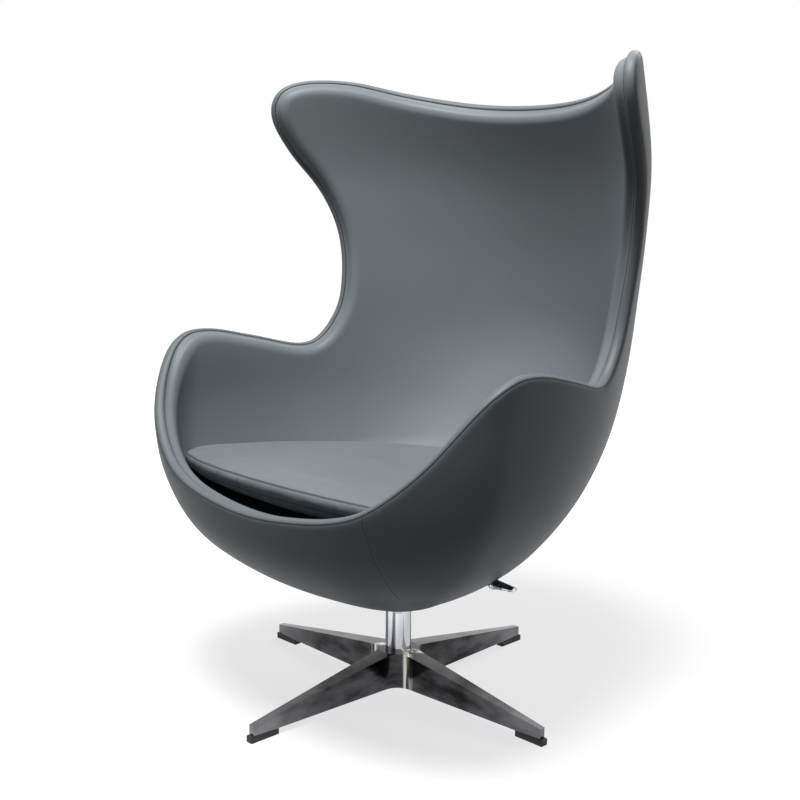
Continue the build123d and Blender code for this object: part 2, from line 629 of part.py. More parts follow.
padding = below(INTERIOR - hollow_solid(-COVER - LAYER_GAP), LAYER_EDGE)
seat_top = SHELL_BOTTOM + SEAT_FOAM_TOP
arm_top = SHELL_BOTTOM + ARM_TOP
save("seat_foam", padding & block((-SLAB, SLAB), (-SLAB, SLAB), (deck_high + LAYER_GAP, seat_top)))
upper = padding & block((-SLAB, SLAB), (-SLAB, SLAB), (seat_top + LAYER_GAP, SLAB))
save("back_foam", upper - block((-SLAB, SLAB), (-SLAB, BACK_FOAM_FRONT + LAYER_GAP), (0, arm_top + LAYER_GAP)))
arms = upper & block((-SLAB, SLAB), (-SLAB, BACK_FOAM_FRONT), (0, arm_top))
save("left_arm_foam", arms & block((LAYER_GAP / 2, SLAB), (-SLAB, SLAB), (0, SLAB)))
save("right_arm_foam", arms & block((-SLAB, -LAYER_GAP / 2), (-SLAB, SLAB), (0, SLAB)))

# ---------------------------------------------------------------- tilt lock lever
ear_face = EAR_INNER - FACE_CLEARANCE
rod_start = ear_face - 8
save("lever_rod", cross_rod(LEVER_RADIUS, rod_start, LEVER_END, LEVER_Y, LEVER_Z))
cam = cross_rod(CAM_RADIUS, rod_start, ear_face, LEVER_Y + CAM_OFFSET, LEVER_Z)
save("lock_cam", cam - cross_rod(LEVER_RADIUS + FIT_CLEARANCE, 0, 60, LEVER_Y, LEVER_Z))


def lever_handle():
    """A ball that runs out into a flattened, tapering grip, bored for the rod."""
    centre = LEVER_END + HANDLE_BALL_RADIUS - 2
    ball = Pos(centre, LEVER_Y, LEVER_Z) * Sphere(HANDLE_BALL_RADIUS)
    sections = []
    for share, tall, wide in ((0, 0.9, 0.98), (0.4, 0.66, 0.95), (0.75, 0.5, 0.85), (1, 0.38, 0.62)):
        place = Plane((centre + share * HANDLE_LENGTH, LEVER_Y, LEVER_Z), x_dir=(0, 1, 0), z_dir=(1, 0, 0))
        sections.append(place * Ellipse(HANDLE_BALL_RADIUS * wide, HANDLE_BALL_RADIUS * tall))
    handle = ball + loft(sections)
    tip = handle.faces().sort_by(Axis.X)[-1].edges()
    handle = fillet(tip, 2.5)
    return handle - cross_rod(LEVER_RADIUS + FIT_CLEARANCE, 0, LEVER_END, LEVER_Y, LEVER_Z)


save("lever_handle", lever_handle())


# ---------------------------------------------------------------- loose seat cushion
# Outlines before the cushion is sloped: height above the shell's lowest point, half width,
# rearmost y, foremost y, y of the widest line. The border runs between the two seams.
CUSHION_ROWS = [
    (BOWL_FLOOR + CUSHION_REST, 150, 110, -120, -20),
    (176, 230, 180, -180, -60),
    (186, 290, 232, -232, -100),
    (198, 322, 262, -268, -130),
    (210, 342, 276, -287, -148),
    (231, 346, 278, -286, -148),
    (241, 325, 262, -268, -135),
    (249, 262, 214, -222, -100),
    (253, 140, 110, -120, -50),
]
LOWER_SEAM, UPPER_SEAM = CUSHION_ROWS[4][0], CUSHION_ROWS[5][0]


def held_in(outline, bearing, sections):
    """A point of a sloped outline, drawn in to the hollow where it would stand outside."""
    height, *shape = outline
    x, y = plan_point(bearing, *shape)
    bottom = CUSHION_ROWS[0][0]
    slope = math.tan(math.radians(CUSHION_SLOPE)) * min(1, max(0, (height - bottom) / (LOWER_SEAM - bottom)))
    half, back, front, widest = row_at(sections, height - slope * y)
    power = FRONT_ROUNDNESS if y < widest else BACK_ROUNDNESS
    reach = widest - front if y < widest else back - widest
    size = (abs(x / half) ** power + abs((y - widest) / reach) ** power) ** (1 / power)
    if size > 1:
        x, y = x / size, widest + (y - widest) / size
    return Vector(x, y, SHELL_BOTTOM + height - slope * y)


def cushion_solid(depth):
    """The cushion at a depth below its cover's face, pressed into the hollow."""
    hollow = hollow_sections(depth + CUSHION_GAP)
    wires = []
    for outline in sunk(CUSHION_ROWS, [row[0] for row in CUSHION_ROWS], depth):
        points = [held_in(outline, bearing, hollow) for bearing in BEARINGS]
        wires.append(closed_outline(points))
    return Solid.make_loft(wires, ruled=True)


def sloped(shape):
    """Turned about the cross line where the upper seam passes over the column."""
    pivot = Pos(0, 0, SHELL_BOTTOM + UPPER_SEAM)
    return pivot * Rot(-CUSHION_SLOPE, 0, 0) * pivot.inverse() * shape


def cushion_slab(low, high, half_width=SLAB, front=-SLAB):
    slab = block((-half_width, half_width), (front, SLAB), (SHELL_BOTTOM + low, SHELL_BOTTOM + high))
    return sloped(slab)


cushion_skin = cushion_solid(0) - cushion_solid(CUSHION_COVER)
zip_middle = (LOWER_SEAM + UPPER_SEAM) / 2
zip_slab = cushion_slab(zip_middle - ZIP_HEIGHT / 2, zip_middle + ZIP_HEIGHT / 2, ZIP_WIDTH / 2, 0)
border = cushion_skin & cushion_slab(LOWER_SEAM, UPPER_SEAM)
save("cushion_border", border - zip_slab)
save("cushion_zip", border & zip_slab)
save("cushion_top_cover", cushion_skin & cushion_slab(UPPER_SEAM, UPPER_SEAM + 60))
save("cushion_base_cover", cushion_skin & cushion_slab(UPPER_SEAM - 120, LOWER_SEAM))
save("cushion_foam", cushion_solid(CUSHION_COVER + LAYER_GAP))
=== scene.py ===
import math

import bmesh
import bpy
from mathutils import Euler, Matrix, Vector, noise


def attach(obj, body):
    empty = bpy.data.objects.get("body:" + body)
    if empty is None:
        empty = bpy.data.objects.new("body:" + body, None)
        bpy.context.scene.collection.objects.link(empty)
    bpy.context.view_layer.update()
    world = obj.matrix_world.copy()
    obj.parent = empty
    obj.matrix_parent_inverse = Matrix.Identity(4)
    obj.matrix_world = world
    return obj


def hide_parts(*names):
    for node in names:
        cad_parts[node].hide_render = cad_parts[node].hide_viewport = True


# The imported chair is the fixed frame. The camera stands in front of the chair on the sitter's
# left, a little under the height of the wings, and looks slightly down at the column.
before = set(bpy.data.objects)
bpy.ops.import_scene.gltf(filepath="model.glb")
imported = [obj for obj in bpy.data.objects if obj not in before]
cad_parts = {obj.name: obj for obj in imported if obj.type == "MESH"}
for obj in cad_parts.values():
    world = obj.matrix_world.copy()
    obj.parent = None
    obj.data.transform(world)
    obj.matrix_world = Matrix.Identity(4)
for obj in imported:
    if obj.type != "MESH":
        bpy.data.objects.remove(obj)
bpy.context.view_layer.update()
CAMERA_REACH = 2.0478
CAMERA_HEIGHT = 0.8671
CAMERA_AZIMUTH = math.radians(45.3)
CAMERA_PITCH = math.radians(9.62)
CAMERA_ROLL = math.radians(0.43)
CAMERA_LENS = 54.15
camera = bpy.data.objects.new("camera", bpy.data.cameras.new("camera"))
camera.data.sensor_width = 36
camera.data.lens = CAMERA_LENS
level = Euler((math.pi / 2 - CAMERA_PITCH, 0, CAMERA_AZIMUTH)).to_matrix()
aim = level @ Matrix.Rotation(CAMERA_ROLL, 3, "Z")
stand = Vector((CAMERA_REACH * math.sin(CAMERA_AZIMUTH), -CAMERA_REACH * math.cos(CAMERA_AZIMUTH),
                CAMERA_HEIGHT))
camera.matrix_world = Matrix.LocRotScale(stand, aim.to_quaternion(), None)
bpy.context.collection.objects.link(camera)
bpy.context.scene.camera = camera
bpy.context.scene.view_settings.view_transform = "Standard"


# The star base is one aluminium casting, ground and polished. Its colour is a painted reflection, dark near
# the hub for the dark room and pale towards each tip for the floor, with a painted glint beside each corner
# of the hub.
class Socket:
    """A shader value that can be used in sums; each operator adds its Math node."""

    def __init__(self, nodes, output):
        self.nodes, self.output = nodes, output

    def math(self, operation, *others):
        return self.nodes.node("ShaderNodeMath", {"operation": operation}, *enumerate((self, *others)))

    def __add__(self, other):
        return self.math("ADD", other)

    def __radd__(self, other):
        return self + other

    def __sub__(self, other):
        return self.math("SUBTRACT", other)

    def __rsub__(self, other):
        return self * -1 + other

    def __mul__(self, other):
        return self.math("MULTIPLY", other)

    def __rmul__(self, other):
        return self * other

    def __truediv__(self, other):
        return self.math("DIVIDE", other)

    def __pow__(self, other):
        return self.math("POWER", other)

    def __abs__(self):
        return self.math("ABSOLUTE")

    def rising(self, low, high):
        """0 below low, 1 above high, smooth between; falling if low is the larger."""
        return self.nodes.node("ShaderNodeMapRange", {"interpolation_type": "SMOOTHSTEP"},
                               ("Value", self), ("From Min", low), ("From Max", high))


class Nodes:
    """A shader's nodes, all added by one method."""

    def __init__(self, owner):
        owner.use_nodes = True
        self.tree = owner.node_tree

    def node(self, kind, settings, *inputs, out=0):
        made = self.tree.nodes.new(kind)
        for key, value in settings.items():
            setattr(made, key, value)
        for key, value in inputs:
            if isinstance(value, Socket):
                self.tree.links.new(value.output, made.inputs[key])
            else:
                made.inputs[key].default_value = value
        return Socket(self, made.outputs[out])


class Finish(Nodes):
    """A procedural material and its Principled shader."""

    def __init__(self, name, **surface):
        self.material = bpy.data.materials.new(name)
        super().__init__(self.material)
        self.shader = self.tree.nodes["Principled BSDF"]
        self.set(**surface)
        self.place = self.node("ShaderNodeTexCoord", {}, out="Object")

    def set(self, **surface):
        for key, value in surface.items():
            socket = self.shader.inputs[key.replace("_", " ").title().replace("Ior", "IOR")]
            if isinstance(value, Socket):
                self.tree.links.new(value.output, socket)
            else:
                socket.default_value = value

    def noise(self, scale, detail=3.0, stretch=(1, 1, 1)):
        """Noise whose features are about 1/scale metres wide."""
        place = self.place
        if stretch != (1, 1, 1):
            place = self.node("ShaderNodeMapping", {}, ("Vector", self.place), ("Scale", stretch))
        return self.node("ShaderNodeTexNoise", {}, ("Vector", place), ("Scale", scale), ("Detail", detail))

    def part(self, axis):
        """One coordinate of the object, in metres."""
        return self.node("ShaderNodeSeparateXYZ", {}, ("Vector", self.place), out=axis)

    def blend(self, factor, dark, light):
        """One colour where the factor is 0 and the other where it is 1."""
        dark, light = ((*colour, 1) if isinstance(colour, tuple) else colour for colour in (dark, light))
        return self.node("ShaderNodeMix", {"data_type": "RGBA"},
                         ("Factor", factor), (6, dark), (7, light), out=2)

    def bump(self, height, distance, strength=1.0):
        return self.node("ShaderNodeBump", {}, ("Strength", strength), ("Distance", distance),
                         ("Height", height))

    def on(self, *names):
        for name in names:
            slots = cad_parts[name].data.materials
            slots.clear()
            slots.append(self.material)


polished = Finish("polished_aluminium", metallic=1.0)
reach = (polished.part(0) ** 2 + polished.part(1) ** 2) ** 0.5
SINE_45 = 0.707
across = (abs(polished.part(0)) - abs(polished.part(1))) * SINE_45
# painted reflection: the legs' colour runs from near black by the hub to pale grey at the tips, with upright
# streaks
painted_reflection_streaks = polished.noise(16, 4, (1, 1, 2.5))
polish = polished.noise(140, 2)
painted_reflection_mix = painted_reflection_streaks.rising(0.3, 0.7) * 0.35 + reach.rising(0.17, 0.33) * 0.65
painted_reflection_colour = polished.blend(painted_reflection_mix, (0.016, 0.016, 0.017), (0.22, 0.22, 0.23))
# painted highlight: a pale glint painted into the colour beside each corner of the hub
painted_glint_place = across.rising(0.006, 0.013) * across.rising(0.028, 0.016) * reach.rising(0.11, 0.07)
painted_glint = painted_glint_place * polished.noise(150, 3, (1, 1, 0.06)).rising(0.35, 0.6)
polished.set(base_color=polished.blend(painted_glint, painted_reflection_colour, (0.75, 0.74, 0.68)),
             roughness=0.08 + 0.10 * polish, normal=polished.bump(polish, 0.0002, 0.25))
polished.on("star_base")

# Injection-moulded shoes under the leg tips keep the casting off the floor, each held by one
# countersunk steel screw.
shoe_plastic = Finish("black_shoe_plastic")
moulded = shoe_plastic.noise(700, 2)
scuffs = shoe_plastic.noise(60, 4)
worn = scuffs.rising(0.4, 0.8)
shoe_plastic.set(base_color=shoe_plastic.blend(worn, (0.008, 0.008, 0.009), (0.03, 0.03, 0.03)),
                 roughness=0.45 + 0.25 * moulded, normal=shoe_plastic.bump(moulded, 0.0001, 0.3))
shoe_plastic.on("foot_glides")

# The column and the lock lever are bright chrome plate on drawn steel, polished round the axis;
# a painted reflection, upright bands in the colour, stands for the dark parts of the room that the tube
# mirrors.
chrome = Finish("bright_chrome", metallic=1.0)
turning = chrome.noise(900, 2, (1, 1, 0.05))
haze_and_reflection = chrome.noise(25, 3)
# painted reflection: upright dark and pale bands painted into the chrome's colour
painted_reflection_bands = chrome.noise(75, 1, (1, 1, 0.02)).rising(0.40, 0.52)
chrome.set(base_color=chrome.blend(painted_reflection_bands * 0.8 + haze_and_reflection * 0.2, (0.07, 0.07, 0.08), (0.70, 0.71, 0.74)),
           roughness=0.06 + 0.07 * haze_and_reflection, normal=chrome.bump(turning, 0.00005, 0.2))
chrome.on("column_tube", "lever_rod", "lever_handle")

# Inside the column the spindle turns in acetal bushes on a steel washer, held by a washer and a
# circlip; the axle of the tilt runs in two more bushes. The screws, bolts and springs are steel.
acetal = Finish("natural_acetal")
grain = acetal.noise(300, 3)
acetal.set(base_color=acetal.blend(grain, (0.60, 0.57, 0.49), (0.72, 0.70, 0.62)),
           roughness=0.35 + 0.2 * grain)
acetal.on("lower_bush", "upper_bush", "tilt_bushes")
steel = Finish("turned_steel", metallic=1.0)
cut = steel.noise(500, 3, (1, 1, 0.2))
steel.set(base_color=steel.blend(cut, (0.36, 0.37, 0.39), (0.56, 0.57, 0.59)), roughness=0.22 + 0.2 * cut,
          normal=steel.bump(cut, 0.00005, 0.3))
steel.on("spindle", "thrust_washer", "retaining_washer", "glide_screws", "mounting_bolts", "mounting_nuts",
         "tilt_springs", "tilt_axle", "lock_cam")

# The yoke on the spindle and the bracket in the shell are steel castings under black paint; the
# clamping collar and the circlips are blacked steel, and two rubber buffers stop the tilt.
cast = Finish("painted_casting", metallic=0.2)
skin = cast.noise(220, 5)
cast.set(base_color=cast.blend(skin.rising(0.3, 0.8), (0.012, 0.012, 0.013), (0.035, 0.035, 0.037)),
         roughness=0.4 + 0.25 * skin, normal=cast.bump(skin, 0.0004, 0.5))
cast.on("tilt_yoke", "tilt_bracket", "bottom_collar", "spindle_circlip", "axle_circlips")
buffer = Finish("buffer_rubber")
dust = buffer.noise(400, 3)
buffer.set(base_color=buffer.blend(dust, (0.010, 0.010, 0.010), (0.03, 0.03, 0.03)),
           roughness=0.7 + 0.2 * dust)
buffer.on("upright_stop", "recline_stop")

# The body is a moulded fibreglass shell with a plywood seat deck, and thin polyurethane foam
# over its outside. All of it is hidden by the covers.
laminate = Finish("moulded_fibreglass")
strands = laminate.noise(120, 5)
laminate.set(base_color=laminate.blend(strands, (0.45, 0.44, 0.34), (0.62, 0.60, 0.50)),
             roughness=0.3 + 0.3 * strands, normal=laminate.bump(strands, 0.0005, 0.4))
laminate.on("fibreglass_shell")
plywood = Finish("birch_plywood")
rings = plywood.noise(14, 4, (1, 9, 9))
plywood.set(base_color=plywood.blend(rings, (0.42, 0.29, 0.16), (0.62, 0.47, 0.29)),
            roughness=0.55 + 0.2 * rings)
plywood.on("seat_deck")
foam = Finish("open_cell_foam")
cells = foam.noise(900, 2)
foam.set(base_color=foam.blend(cells, (0.58, 0.53, 0.38), (0.80, 0.76, 0.60)), roughness=0.85 + 0.1 * cells,
         normal=foam.bump(cells, 0.0006, 0.7))
foam.on("outer_foam")

# The outside cover is grey leather, pulled over thin foam and sewn to the rim band. Two darts
# run down from the rim either side of the front to take up the fullness under the lip.
MM = 0.001
SHELL_BOTTOM = 165.0
WALL = 40.0
HIDE = 0.0018
# the plan's outline is an ellipse behind its widest line, and a little squarer in front of it
FRONT_POWER, BACK_POWER = 2.2, 2.0
# height above the shell's lowest point, half width, rearmost y, foremost y, y of the widest line
SHELL_ROWS = [
    (0, 70, 70, -70, 0), (15, 107, 100, -113, -25), (40, 155, 140, -172, -62), (80, 234, 189, -252, -104),
    (135, 311, 243, -316, -148), (215, 371, 320, -343, -172), (305, 394, 392, -357, -170),
    (415, 401, 438, -363, -157), (535, 414, 446, -370, -142), (655, 434, 434, -376, -128),
    (775, 451, 404, -377, -118), (985, 446, 312, -377, -108),
]
BOWL_ROWS = [
    (90, 60, 30, -60, -15), (130, 175, 130, -175, -45), (160, 243, 192, -232, -80),
    (180, 279, 227, -261, -105), (202, 312, 262, -289, -145), (224, 334, 290, -306, -172),
]
BOWL_FLOOR = 170.0
BOWL_TO_WALL = 270.0
# bearing round the plan (0 in front), height, and the bearing where that column of leather starts
RIM = [
    (0, 213, 0), (15, 221, 10), (28, 235, 19), (39, 261, 28), (54, 323, 40), (69, 397, 53), (80, 436, 66),
    (92, 453, 79), (103, 433, 92), (115, 412, 106), (121, 470, 118), (123, 545, 128), (123, 635, 135),
    (120, 715, 141), (114.5, 785, 147), (111, 850, 152), (113, 896, 156.5), (120, 918, 160.5),
    (132, 919, 165), (146, 897, 169.5), (163, 877, 174.5), (180, 871, 180),
]
# columns of the covers from one row of the table above to the next
STEPS = 4
# a cover's rows share out its height to this power evenly, so they lie closer together low down
PULL = 0.74
# columns that start past WING_FROM turn to the rim late, and most so from WING_OVER further on
WING_FROM, WING_OVER, WING_BEND = 100, 15, 2.6


def row_at(rows, value):
    """The other columns at a value of the first, on smooth curves through the rows."""
    k = max([i for i in range(len(rows) - 1) if rows[i][0] <= value] or [0])
    span = rows[k + 1][0] - rows[k][0]
    t = (value - rows[k][0]) / span

    def slope(i, column):
        low, high = max(i - 1, 0), min(i + 1, len(rows) - 1)
        return (rows[high][column] - rows[low][column]) / (rows[high][0] - rows[low][0]) * span

    return [(2 * t**3 - 3 * t**2 + 1) * rows[k][c] + (t**3 - 2 * t**2 + t) * slope(k, c)
            + (3 * t**2 - 2 * t**3) * rows[k + 1][c] + (t**3 - t**2) * slope(k + 1, c)
            for c in range(1, len(rows[0]))]


def plan_point(bearing, half, back, front, widest):
    """The x and y of a point on a row's outline."""
    sine, cosine = math.sin(math.radians(bearing)), math.cos(math.radians(bearing))
    power = 2 / (FRONT_POWER if cosine > 0 else BACK_POWER)
    reach = widest - front if cosine > 0 else back - widest
    return (math.copysign(half * abs(sine) ** power, sine),
            widest - math.copysign(reach * abs(cosine) ** power, cosine))


def on_shell(bearing, height):
    return Vector((*plan_point(bearing, *row_at(SHELL_ROWS, height)), SHELL_BOTTOM + height))


def sunk(rows, heights, depth):
    """The rows of the same form with its skin moved inwards."""
    for height in heights:
        half, back, front, widest = row_at(rows, height)
        under, over = max(height - 2, rows[0][0]), min(height + 2, rows[-1][0])
        low, high = row_at(rows, under), row_at(rows, over)
        rise = over - under
        run = (high[0] - low[0] + (high[1] - high[2] - low[1] + low[2]) / 2) / 2
        inset, raised = depth * rise / math.hypot(rise, run), depth * run / math.hypot(rise, run)
        yield height + raised, half - inset, back - inset, front + inset, widest


HOLLOW_ROWS = BOWL_ROWS + [row for row in sunk(SHELL_ROWS, [row[0] for row in SHELL_ROWS], WALL)
                           if row[0] > BOWL_TO_WALL]


def on_hollow(bearing, height):
    return Vector((*plan_point(bearing, *row_at(HOLLOW_ROWS, height)), SHELL_BOTTOM + height))


def outward(surface, bearing, height):
    """The unit normal that points away from the sitter."""
    along = surface(bearing + 1, height) - surface(bearing - 1, height)
    return along.cross(surface(bearing, height + 2) - surface(bearing, height - 2)).normalized()


rim_table = [(-1, -RIM[1][0], RIM[1][1], -RIM[1][2])] + [(k, *row) for k, row in enumerate(RIM)]
rim_table.append((len(RIM), 360 - RIM[-2][0], RIM[-2][1], 360 - RIM[-2][2]))
half_rim = [row_at(rim_table, k / STEPS) for k in range((len(RIM) - 1) * STEPS + 1)]
stations = half_rim + [[360 - b, h, 360 - start] for b, h, start in half_rim[-2:0:-1]]
COLUMNS = len(stations)


def rim_point(k, depth, lower):
    """A point at a depth in the wall, lowered from the rim's crest at a station."""
    bearing, height, _ = stations[k % COLUMNS]
    before, after = stations[k % COLUMNS - 1], stations[(k + 1) % COLUMNS]
    normal = outward(on_shell, bearing, height)
    down = (on_shell(*after[:2]) - on_shell(*before[:2])).cross(normal).normalized()
    return on_shell(bearing, height) - normal * depth + down * lower


def settle(surface, point, bearing, height):
    """The bearing and height on a surface nearest to a point."""
    for _ in range(6):
        here = surface(bearing, height)
        along, up = surface(bearing + 1, height) - here, surface(bearing, height + 1) - here
        gap = point - here
        aa, au, uu = along.dot(along), along.dot(up), up.dot(up)
        scale = aa * uu - au * au
        bearing += (uu * gap.dot(along) - au * gap.dot(up)) / scale
        height += (aa * gap.dot(up) - au * gap.dot(along)) / scale
    return bearing, height


def ring_point(bearing, half, reach, middle, height):
    angle = math.radians(bearing)
    return Vector((half * math.sin(angle), middle - reach * math.cos(angle), SHELL_BOTTOM + height))


def skin_columns(surface, edge_depth, floor, count, rings, middle, edge):
    """Columns of points up a cover: flat rings, rows up to the wall, and over its edge to the seam."""
    first_lower = edge[0][1]
    columns = []
    for k in range(COLUMNS):
        foot = rim_point(k, edge_depth, first_lower)
        bearing, height = settle(surface, foot, *stations[k][:2])
        shift = surface(bearing, height) - foot
        start, rise = stations[k][2], (height - floor) ** PULL
        bend = 1 + WING_BEND * min(1, max(0, (min(start, 360 - start) - WING_FROM) / WING_OVER))
        column = [ring_point(start, half, reach, middle, floor) for half, reach in rings]
        column += [surface(start + (bearing - start) * (j / count) ** bend,
                           floor + (rise * j / count) ** (1 / PULL)) for j in range(count)]
        column += [rim_point(k, depth, lower) + shift * (lower / first_lower) ** 2 for depth, lower in edge]
        columns.append(column)
    return columns


# in metres: the face nearest this height tells which way a sheet faces, seen from the plan's middle
SIDE_HEIGHT, SIDE_MIDDLE = 0.5, -0.13


def woven_into(name, columns, facing, sewn=()):
    """A smooth sheet round the chair through columns of points in millimetres.

    It faces away from the middle (1) or towards it (-1), and its attribute seam is 1 on sewn rows.
    """
    bm = bmesh.new()
    rows = len(columns[0]) - 1
    bmesh.ops.create_grid(bm, x_segments=len(columns), y_segments=rows, size=1)
    seam = bm.verts.layers.float.new("seam")
    for vert in bm.verts:
        k = round((vert.co.x + 1) / 2 * len(columns)) % len(columns)
        row = round((vert.co.y + 1) / 2 * rows)
        vert[seam] = float(row in sewn or row - rows - 1 in sewn)
        vert.co = columns[k][row] * MM
    bmesh.ops.remove_doubles(bm, verts=bm.verts, dist=1e-6)
    bmesh.ops.recalc_face_normals(bm, faces=bm.faces)
    sample = min(bm.faces, key=lambda face: abs(face.calc_center_median().z - SIDE_HEIGHT))
    centre = sample.calc_center_median()
    if sample.normal.dot(Vector((centre.x, centre.y - SIDE_MIDDLE, 0))) * facing < 0:
        bmesh.ops.reverse_faces(bm, faces=bm.faces)
    return placed(name, bm)


def placed(name, bm):
    """The finished bmesh as a piece of the scene."""
    mesh = bpy.data.meshes.new(name)
    bm.to_mesh(mesh)
    bm.free()
    mesh.shade_smooth()
    piece = bpy.data.objects.new(name, mesh)
    bpy.context.collection.objects.link(piece)
    return piece


def rounded(piece):
    finer = piece.modifiers.new("rounded", "SUBSURF")
    finer.levels = finer.render_levels = 1


def made_thick(piece, thickness):
    sheet = piece.modifiers.new("thick", "SOLIDIFY")
    sheet.thickness, sheet.offset = thickness, -1


PEBBLE, SEAM_DEPTH = 0.00012, 0.0016
GREYS = (0.108, 0.120, 0.128), (0.128, 0.141, 0.150)
SEAM_ROWS = (-1, -2, -3)


def grey_leather(name, painted_shade_tone=1.0):
    """Satin hide with a fine pebble, painted near black as seam shade where it is sewn; a lower tone darkens
    its grey as painted shade, for a shaded copy of the same hide.
    """
    hide = Finish(name, specular_ior_level=0.18)
    pebble = hide.node("ShaderNodeTexVoronoi", {"feature": "DISTANCE_TO_EDGE"},
                       ("Vector", hide.place), ("Scale", 620.0))
    pores = hide.noise(1500, 2)
    clouds = hide.noise(5, 3)
    hide.height = pebble.rising(0.0, 0.35) * 0.7 + pores * 0.3
    # painted shade: the colour goes to near black on the sewn rows, for the shade in the seam's groove
    painted_seam_shade = hide.node("ShaderNodeAttribute", {"attribute_name": "seam"}, out=2)
    darker, lighter = (tuple(part * painted_shade_tone for part in grey) for grey in GREYS)
    hide.colour = hide.blend(painted_seam_shade, hide.blend(clouds, darker, lighter), (0.01, 0.01, 0.011))
    hide.set(base_color=hide.colour, roughness=0.40 + 0.10 * clouds + 0.06 * pores,
             normal=hide.bump(hide.height, PEBBLE, 0.35))
    return hide


def drawn_in(hide, groove, painted_groove_shade, relief):
    """Give a hide painted shade in its sewn grooves, and a relief in metres under its pebble."""
    # painted shade: the colour darkens to near black along the grooves
    hide.set(base_color=hide.blend(groove * painted_groove_shade, hide.colour, (0.02, 0.02, 0.022)),
             normal=hide.bump(hide.height * PEBBLE + relief - groove * SEAM_DEPTH, 1.0, 0.6))


# depth in the wall and distance below the crest, over the wall's edge and into the seam
OVER_EDGE = [(0, 30), (0, 18), (0.1, 10), (0.8, 5.2), (1.8, 2.9), (2.7, 2.1), (3.3, 2.7), (3.4, 5)]
HOLE_RINGS = [(42, 42), (56, 56)]
outer_columns = skin_columns(on_shell, 0, 0, 32, HOLE_RINGS, 0, OVER_EDGE)
outer_cover = woven_into("outer_cover_leather", outer_columns, 1, SEAM_ROWS)
rounded(outer_cover)
made_thick(outer_cover, HIDE)
# height and distance from the mid plane of each dart's seam
DART = [(255, 214), (266, 225), (297, 244), (325, 250), (347, 249), (368, 249), (388, 247), (430, 242)]
DART_FOOT, DART_RISE = DART[0][0], DART[-1][0] - DART[0][0]
DART_NEAR, DART_SPREAD = 200, 100
# painted shade: the outside is the same hide as the inside with its grey darkened to 0.75
outer_leather = grey_leather("outer_leather", 0.75)
side, up = abs(outer_leather.part(0)), outer_leather.part(2)
share = (up - DART_FOOT * MM) / (DART_RISE * MM)
dart_line = outer_leather.node("ShaderNodeFloatCurve", {}, ("Value", share))
curve = dart_line.output.node.mapping.curves[0]
places = [((height - DART_FOOT) / DART_RISE, (distance - DART_NEAR) / DART_SPREAD)
          for height, distance in DART]
curve.points[0].location, curve.points[-1].location = places[0], places[-1]
for place in places[1:-1]:
    curve.points.new(*place)
dart_line.output.node.mapping.update()
off_dart = abs(side - (dart_line * (DART_SPREAD * MM) + DART_NEAR * MM))
in_front = outer_leather.part(1).rising(-0.14, -0.17) * up.rising(0.258, 0.275)
groove = off_dart.rising(0.0016, 0.0002) * in_front
pucker = off_dart.rising(0.016, 0.002) * in_front * outer_leather.noise(170, 2, (0.25, 0.25, 1))
# painted shade in the darts' grooves
drawn_in(outer_leather, groove, 0.75, pucker * 0.0006)
outer_cover.data.materials.append(outer_leather.material)
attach(outer_cover, "seat")
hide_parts("back_cover", "front_apron")

# The rim band is a strip of the same leather over a foam roll. Its two edges are sewn down
# inside the grooves that it makes with the outside and the inside cover.
BAND = [(3.6, 5), (3.5, 2.4), (4.2, 0.7), (6, -0.5), (8.5, -1.2), (11, -1.3), (13.5, -1.1), (15.6, -0.3),
        (16.8, 1.0), (17.3, 2.8), (17.2, 5)]
BAND_HIDE = 0.0016
band_columns = [[rim_point(k, depth, lower) for depth, lower in BAND] for k in range(COLUMNS)]
rim_band = woven_into("rim_band_leather", band_columns, 1, (0, 1, -1, -2))
rounded(rim_band)
made_thick(rim_band, BAND_HIDE)
# painted shade: the rim band's grey is darkened to 0.85
rim_leather = grey_leather("rim_leather", 0.85)
rim_band.data.materials.append(rim_leather.material)
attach(rim_band, "seat")
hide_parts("rim_band")

# The inside cover is one hide pulled over the padding of back, wings and arms, so it follows the
# hollow without a crease. It runs on under the loose cushion as the bowl's floor.
ROLL_DEPTH, ROLL_TOP = 26.0, 21.5


def roll(lower):
    """How deep in the wall the rounded edge of the padding lies at a distance below the crest."""
    return WALL - (WALL - ROLL_TOP) * (1 - lower / ROLL_DEPTH) ** 2.2


INTO_SEAM = [(roll(lower), lower) for lower in (ROLL_DEPTH, 22, 18, 14, 11, 8)] + [
    (22.2, 5.6), (20.4, 3.2), (18.9, 2.3), (17.8, 2.9), (17.5, 5)]
FLOOR_RINGS, FLOOR_MIDDLE = [(0, 0), (150, 130)], -20
inner_columns = skin_columns(on_hollow, WALL, BOWL_FLOOR, 30, FLOOR_RINGS, FLOOR_MIDDLE, INTO_SEAM)
inner_cover = woven_into("inner_cover_leather", inner_columns, -1, SEAM_ROWS)
rounded(inner_cover)
made_thick(inner_cover, HIDE)
inner_leather = grey_leather("inner_leather")
inner_cover.data.materials.append(inner_leather.material)
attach(inner_cover, "seat")
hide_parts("inner_cover")

# A sheet of cut foam lies under the inside cover and follows it from the seat up over the arms,
# the back and the wings. It ends well below the rim band, where the cover rounds the wall's edge.
PARED_OFF = 17
FOAM_SHEET, FOAM_BELOW_COVER = 0.009, 0.004
padding = woven_into("hollow_padding_foam", [column[:-PARED_OFF] for column in inner_columns], -1)
under_cover = padding.modifiers.new("under_cover", "DISPLACE")
under_cover.mid_level, under_cover.strength = 0, -FOAM_BELOW_COVER
made_thick(padding, FOAM_SHEET)
padding.data.materials.append(foam.material)
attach(padding, "seat")
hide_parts("seat_foam", "back_foam", "left_arm_foam", "right_arm_foam")

